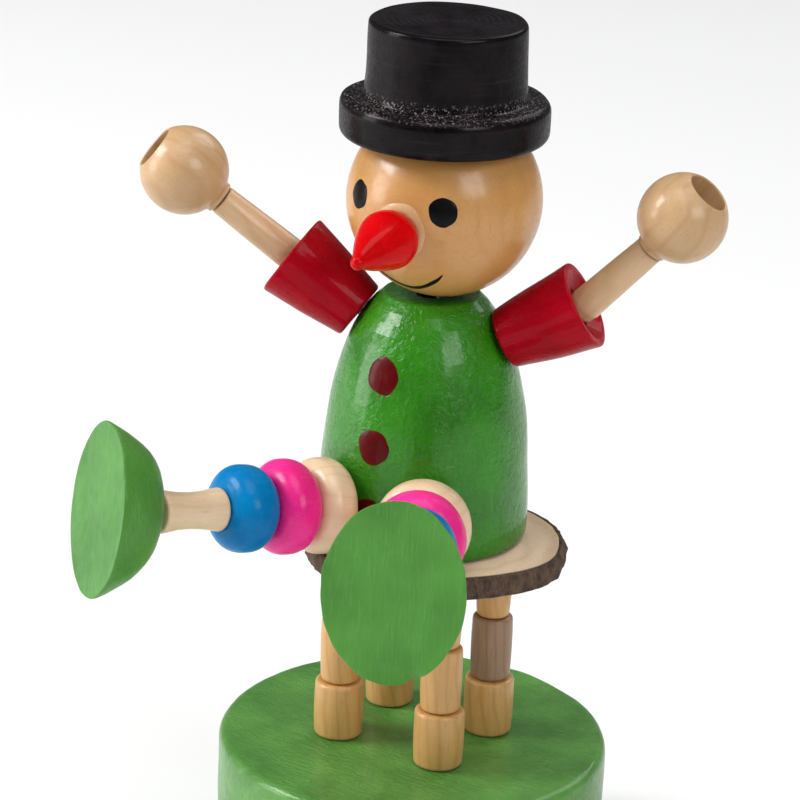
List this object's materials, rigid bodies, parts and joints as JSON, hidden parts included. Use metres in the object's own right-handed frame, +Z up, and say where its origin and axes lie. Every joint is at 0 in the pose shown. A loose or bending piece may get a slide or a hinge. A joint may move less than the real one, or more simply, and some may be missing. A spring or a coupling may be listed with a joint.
{
  "type": "push-up puppet toy",
  "caption": "Wooden push-up puppet: a figure in a top hat sits on a bead-legged stool on a drum, and collapses when the button under the drum is pressed.",
  "frame": {"origin": "the centre of the drum's bottom face, which rests on a table", "axes": "+Z up; the figure faces -Y, and its left hand is on the +X side"},
  "size_m": [0.0688, 0.0727, 0.1161],
  "materials": {
    "green_paint": "glossy green enamel brushed over wood",
    "natural_wood": "turned beech under clear varnish",
    "pale_wood": "pale maple under clear varnish",
    "grey_wood": "weathered grey-brown turned wood",
    "branch_wood": "sawn cross-cut branch, open grain",
    "bark": "rough dark bark",
    "black_paint": "satin black paint with a purple-brown cast",
    "red_paint": "bright glossy red paint",
    "dark_red_paint": "glossy dark red paint",
    "pink_paint": "glossy pink paint",
    "blue_paint": "glossy blue paint",
    "cord": "waxed white cotton string",
    "spring_steel": "plain steel wire"
  },
  "bodies": {
    "base": {"base_drum": "green_paint", "string_front_left": "cord", "string_front_right": "cord", "string_rear_left": "cord", "string_rear_right": "cord", "string_head": "cord", "return_spring": "spring_steel"},
    "push_button": {"push_button": "natural_wood", "button_knots": "cord"},
    "stool_lower_front_left": {"stool_lower_front_left": "natural_wood"},
    "stool_middle_front_left": {"stool_middle_front_left": "natural_wood"},
    "stool_upper_front_left": {"stool_upper_front_left": "natural_wood"},
    "stool_lower_front_right": {"stool_lower_front_right": "natural_wood"},
    "stool_middle_front_right": {"stool_middle_front_right": "natural_wood"},
    "stool_upper_front_right": {"stool_upper_front_right": "natural_wood"},
    "stool_lower_rear_left": {"stool_lower_rear_left": "natural_wood"},
    "stool_middle_rear_left": {"stool_middle_rear_left": "grey_wood"},
    "stool_upper_rear_left": {"stool_upper_rear_left": "natural_wood"},
    "stool_lower_rear_right": {"stool_lower_rear_right": "natural_wood"},
    "stool_middle_rear_right": {"stool_middle_rear_right": "natural_wood"},
    "stool_upper_rear_right": {"stool_upper_rear_right": "natural_wood"},
    "seat": {"seat": "branch_wood", "seat_bark": "bark"},
    "torso": {"torso": "green_paint"},
    "head": {"head": "pale_wood", "nose": "red_paint", "hat": "black_paint", "head_knot": "cord"},
    "sleeve_left": {"sleeve_left": "dark_red_paint"},
    "forearm_left": {"forearm_left": "pale_wood"},
    "hand_left": {"hand_left": "pale_wood", "hand_knot_left": "cord"},
    "sleeve_right": {"sleeve_right": "dark_red_paint"},
    "forearm_right": {"forearm_right": "pale_wood"},
    "hand_right": {"hand_right": "pale_wood", "hand_knot_right": "cord"},
    "hip_bead_left": {"hip_bead_left": "pale_wood"},
    "knee_bead_left": {"knee_bead_left": "pink_paint"},
    "calf_bead_left": {"calf_bead_left": "blue_paint"},
    "shin_left": {"shin_left": "pale_wood"},
    "foot_left": {"foot_left": "green_paint"},
    "hip_bead_right": {"hip_bead_right": "pale_wood"},
    "knee_bead_right": {"knee_bead_right": "pink_paint"},
    "calf_bead_right": {"calf_bead_right": "blue_paint"},
    "shin_right": {"shin_right": "pale_wood"},
    "foot_right": {"foot_right": "green_paint"}
  },
  "joints": [
    {"name": "stool_lower_front_left_tip", "type": "hinge", "parent": "base", "child": "stool_lower_front_left", "pos_m": [0.01025, -0.0062, 0.022], "axis": [0, 1, 0], "range_deg": [0, 8], "stiffness_Nm_per_rad": 0.42, "springref_deg": 0.32},
    {"name": "stool_fold", "type": "hinge", "parent": "stool_lower_front_left", "child": "stool_middle_front_left", "pos_m": [0.0053, -0.0062, 0.0296], "axis": [0, -1, 0], "range_deg": [0, 30], "stiffness_Nm_per_rad": 0.35, "springref_deg": -0.24},
    {"name": "stool_upper_front_left_tip", "type": "hinge", "parent": "stool_middle_front_left", "child": "stool_upper_front_left", "pos_m": [0.00935, -0.0062, 0.0382], "axis": [0, 1, 0], "range_deg": [0, 44], "stiffness_Nm_per_rad": 0.294, "springref_deg": 0.41},
    {"name": "stool_lower_front_right_tip", "type": "hinge", "parent": "base", "child": "stool_lower_front_right", "pos_m": [-0.00475, -0.0062, 0.022], "axis": [0, 1, 0], "range_deg": [0, 8], "stiffness_Nm_per_rad": 0.0011, "springref_deg": 0.42},
    {"name": "stool_middle_front_right_tip", "type": "hinge", "parent": "stool_lower_front_right", "child": "stool_middle_front_right", "pos_m": [-0.0097, -0.0062, 0.0296], "axis": [0, -1, 0], "range_deg": [0, 30], "stiffness_Nm_per_rad": 0.00049, "springref_deg": 0.44},
    {"name": "stool_upper_front_right_tip", "type": "hinge", "parent": "stool_middle_front_right", "child": "stool_upper_front_right", "pos_m": [-0.00565, -0.0062, 0.0382], "axis": [0, 1, 0], "range_deg": [0, 44], "stiffness_Nm_per_rad": 0.00014, "springref_deg": 0.61},
    {"name": "stool_lower_rear_left_tip", "type": "hinge", "parent": "base", "child": "stool_lower_rear_left", "pos_m": [0.01025, 0.0062, 0.022], "axis": [0, 1, 0], "range_deg": [0, 8], "stiffness_Nm_per_rad": 0.0011, "springref_deg": 0.42},
    {"name": "stool_middle_rear_left_tip", "type": "hinge", "parent": "stool_lower_rear_left", "child": "stool_middle_rear_left", "pos_m": [0.0053, 0.0062, 0.0296], "axis": [0, -1, 0], "range_deg": [0, 30], "stiffness_Nm_per_rad": 0.00049, "springref_deg": 0.44},
    {"name": "stool_upper_rear_left_tip", "type": "hinge", "parent": "stool_middle_rear_left", "child": "stool_upper_rear_left", "pos_m": [0.00935, 0.0062, 0.0382], "axis": [0, 1, 0], "range_deg": [0, 44], "stiffness_Nm_per_rad": 0.00014, "springref_deg": 0.61},
    {"name": "stool_lower_rear_right_tip", "type": "hinge", "parent": "base", "child": "stool_lower_rear_right", "pos_m": [-0.00475, 0.0062, 0.022], "axis": [0, 1, 0], "range_deg": [0, 8], "stiffness_Nm_per_rad": 0.0011, "springref_deg": 0.42},
    {"name": "stool_middle_rear_right_tip", "type": "hinge", "parent": "stool_lower_rear_right", "child": "stool_middle_rear_right", "pos_m": [-0.0097, 0.0062, 0.0296], "axis": [0, -1, 0], "range_deg": [0, 30], "stiffness_Nm_per_rad": 0.00049, "springref_deg": 0.44},
    {"name": "stool_upper_rear_right_tip", "type": "hinge", "parent": "stool_middle_rear_right", "child": "stool_upper_rear_right", "pos_m": [-0.00565, 0.0062, 0.0382], "axis": [0, 1, 0], "range_deg": [0, 44], "stiffness_Nm_per_rad": 0.00014, "springref_deg": 0.61},
    {"name": "seat_tip", "type": "hinge", "parent": "stool_upper_front_left", "child": "seat", "pos_m": [0.0053, -0.0062, 0.0475], "axis": [0, -1, 0], "range_deg": [0, 22], "stiffness_Nm_per_rad": 0.08, "springref_deg": -0.37},
    {"name": "torso_lean", "type": "hinge", "parent": "seat", "child": "torso", "pos_m": [-0.0125, 0, 0.05045], "axis": [0, -1, 0], "range_deg": [0, 8], "stiffness_Nm_per_rad": 0.08, "springref_deg": 0.76},
    {"name": "head_nod", "type": "hinge", "parent": "torso", "child": "head", "pos_m": [0.0009, 0.0005, 0.0939], "axis": [1, 0, 0], "range_deg": [0, 20], "stiffness_Nm_per_rad": 0.0252, "springref_deg": -0.1},
    {"name": "shoulder_left", "type": "hinge", "parent": "torso", "child": "sleeve_left", "pos_m": [0.01098, 0.00295, 0.07389], "axis": [-0.3584, 0.9336, 0], "range_deg": [0, 45], "stiffness_Nm_per_rad": 0.00182, "springref_deg": -1.22},
    {"name": "elbow_left", "type": "hinge", "parent": "sleeve_left", "child": "forearm_left", "pos_m": [0.01832, 0.00577, 0.08228], "axis": [-0.2198, 0.9755, 0], "range_deg": [0, 32], "stiffness_Nm_per_rad": 0.000308, "springref_deg": -1.51},
    {"name": "wrist_left", "type": "hinge", "parent": "forearm_left", "child": "hand_left", "pos_m": [0.02731, 0.00774, 0.0894], "axis": [-0.1805, 0.9836, 0], "range_deg": [0, 20], "stiffness_Nm_per_rad": 0.0000868, "springref_deg": -0.74},
    {"name": "shoulder_right", "type": "hinge", "parent": "torso", "child": "sleeve_right", "pos_m": [-0.01037, -0.00367, 0.07538], "axis": [0.2957, -0.9553, 0], "range_deg": [0, 50], "stiffness_Nm_per_rad": 0.00168, "springref_deg": -1.02},
    {"name": "elbow_right", "type": "hinge", "parent": "sleeve_right", "child": "forearm_right", "pos_m": [-0.01705, -0.00574, 0.0845], "axis": [0.5736, -0.8192, 0], "range_deg": [0, 32], "stiffness_Nm_per_rad": 0.000336, "springref_deg": -1.56},
    {"name": "wrist_right", "type": "hinge", "parent": "forearm_right", "child": "hand_right", "pos_m": [-0.02531, -0.0115, 0.0901], "axis": [0.5592, -0.829, 0], "range_deg": [0, 20], "stiffness_Nm_per_rad": 0.0000868, "springref_deg": -1.31},
    {"name": "hip_bead_left_droop", "type": "hinge", "parent": "torso", "child": "hip_bead_left", "pos_m": [0.00746, -0.01202, 0.05269], "axis": [0.9063, 0.4226, 0], "range_deg": [0, 4], "stiffness_Nm_per_rad": 0.0322, "springref_deg": -1.53},
    {"name": "knee_bead_left_droop", "type": "hinge", "parent": "hip_bead_left", "child": "knee_bead_left", "pos_m": [0.00954, -0.01647, 0.05368], "axis": [0.9063, 0.4226, 0], "range_deg": [0, 8], "stiffness_Nm_per_rad": 0.0252, "springref_deg": -1.52},
    {"name": "calf_bead_left_droop", "type": "hinge", "parent": "knee_bead_left", "child": "calf_bead_left", "pos_m": [0.01195, -0.02164, 0.05479], "axis": [0.9063, 0.4226, 0], "range_deg": [0, 20], "stiffness_Nm_per_rad": 0.0182, "springref_deg": -1.52},
    {"name": "shin_left_droop", "type": "hinge", "parent": "calf_bead_left", "child": "shin_left", "pos_m": [0.01459, -0.0273, 0.05637], "axis": [0.9063, 0.4226, 0], "range_deg": [0, 22], "stiffness_Nm_per_rad": 0.0116, "springref_deg": -1.56},
    {"name": "foot_left_droop", "type": "hinge", "parent": "shin_left", "child": "foot_left", "pos_m": [0.0183, -0.03526, 0.05851], "axis": [0.9063, 0.4226, 0], "range_deg": [0, 14], "stiffness_Nm_per_rad": 0.00392, "springref_deg": -1.52},
    {"name": "hip_bead_right_droop", "type": "hinge", "parent": "torso", "child": "hip_bead_right", "pos_m": [-0.00502, -0.0133, 0.05265], "axis": [0.9171, -0.3987, 0], "range_deg": [0, 4], "stiffness_Nm_per_rad": 0.0322, "springref_deg": -1.53},
    {"name": "knee_bead_right_droop", "type": "hinge", "parent": "hip_bead_right", "child": "knee_bead_right", "pos_m": [-0.00697, -0.01778, 0.05373], "axis": [0.9171, -0.3987, 0], "range_deg": [0, 8], "stiffness_Nm_per_rad": 0.0252, "springref_deg": -1.52},
    {"name": "calf_bead_right_droop", "type": "hinge", "parent": "knee_bead_right", "child": "calf_bead_right", "pos_m": [-0.00923, -0.02299, 0.05494], "axis": [0.9171, -0.3987, 0], "range_deg": [0, 20], "stiffness_Nm_per_rad": 0.0182, "springref_deg": -1.52},
    {"name": "shin_right_droop", "type": "hinge", "parent": "calf_bead_right", "child": "shin_right", "pos_m": [-0.01171, -0.02869, 0.05663], "axis": [0.9171, -0.3987, 0], "range_deg": [0, 22], "stiffness_Nm_per_rad": 0.0116, "springref_deg": -1.56},
    {"name": "foot_right_droop", "type": "hinge", "parent": "shin_right", "child": "foot_right", "pos_m": [-0.01523, -0.03669, 0.05893], "axis": [0.829, -0.5592, 0], "range_deg": [0, 14], "stiffness_Nm_per_rad": 0.00392, "springref_deg": -1.52},
    {"name": "button_press", "type": "slide", "parent": "base", "child": "push_button", "axis": [0, 0, 1], "range_m": [0, 0.007], "stiffness_N_per_m": 400, "springref_m": -0.002, "deforming": ["return_spring", "string_front_left", "string_front_right", "string_rear_left", "string_rear_right", "string_head"]}
  ],
  "couplings": [
    {"joint": "stool_lower_front_left_tip", "follows": "button_press", "rad_per_m": 19.947},
    {"joint": "stool_fold", "follows": "button_press", "rad_per_m": 74.8},
    {"joint": "stool_upper_front_left_tip", "follows": "button_press", "rad_per_m": 109.71},
    {"joint": "stool_lower_front_right_tip", "follows": "button_press", "rad_per_m": 19.947},
    {"joint": "stool_middle_front_right_tip", "follows": "button_press", "rad_per_m": 74.8},
    {"joint": "stool_upper_front_right_tip", "follows": "button_press", "rad_per_m": 109.71},
    {"joint": "stool_lower_rear_left_tip", "follows": "button_press", "rad_per_m": 19.947},
    {"joint": "stool_middle_rear_left_tip", "follows": "button_press", "rad_per_m": 74.8},
    {"joint": "stool_upper_rear_left_tip", "follows": "button_press", "rad_per_m": 109.71},
    {"joint": "stool_lower_rear_right_tip", "follows": "button_press", "rad_per_m": 19.947},
    {"joint": "stool_middle_rear_right_tip", "follows": "button_press", "rad_per_m": 74.8},
    {"joint": "stool_upper_rear_right_tip", "follows": "button_press", "rad_per_m": 109.71},
    {"joint": "seat_tip", "follows": "button_press", "rad_per_m": 54.853},
    {"joint": "torso_lean", "follows": "button_press", "rad_per_m": 19.947},
    {"joint": "head_nod", "follows": "button_press", "rad_per_m": 49.867},
    {"joint": "shoulder_left", "follows": "button_press", "rad_per_m": 112.2},
    {"joint": "elbow_left", "follows": "button_press", "rad_per_m": 79.786},
    {"joint": "wrist_left", "follows": "button_press", "rad_per_m": 49.867},
    {"joint": "shoulder_right", "follows": "button_press", "rad_per_m": 124.67},
    {"joint": "elbow_right", "follows": "button_press", "rad_per_m": 79.786},
    {"joint": "wrist_right", "follows": "button_press", "rad_per_m": 49.867},
    {"joint": "hip_bead_left_droop", "follows": "button_press", "rad_per_m": 9.9733},
    {"joint": "knee_bead_left_droop", "follows": "button_press", "rad_per_m": 19.947},
    {"joint": "calf_bead_left_droop", "follows": "button_press", "rad_per_m": 49.867},
    {"joint": "shin_left_droop", "follows": "button_press", "rad_per_m": 54.853},
    {"joint": "foot_left_droop", "follows": "button_press", "rad_per_m": 34.907},
    {"joint": "hip_bead_right_droop", "follows": "button_press", "rad_per_m": 9.9733},
    {"joint": "knee_bead_right_droop", "follows": "button_press", "rad_per_m": 19.947},
    {"joint": "calf_bead_right_droop", "follows": "button_press", "rad_per_m": 49.867},
    {"joint": "shin_right_droop", "follows": "button_press", "rad_per_m": 54.853},
    {"joint": "foot_right_droop", "follows": "button_press", "rad_per_m": 34.907}
  ]
}
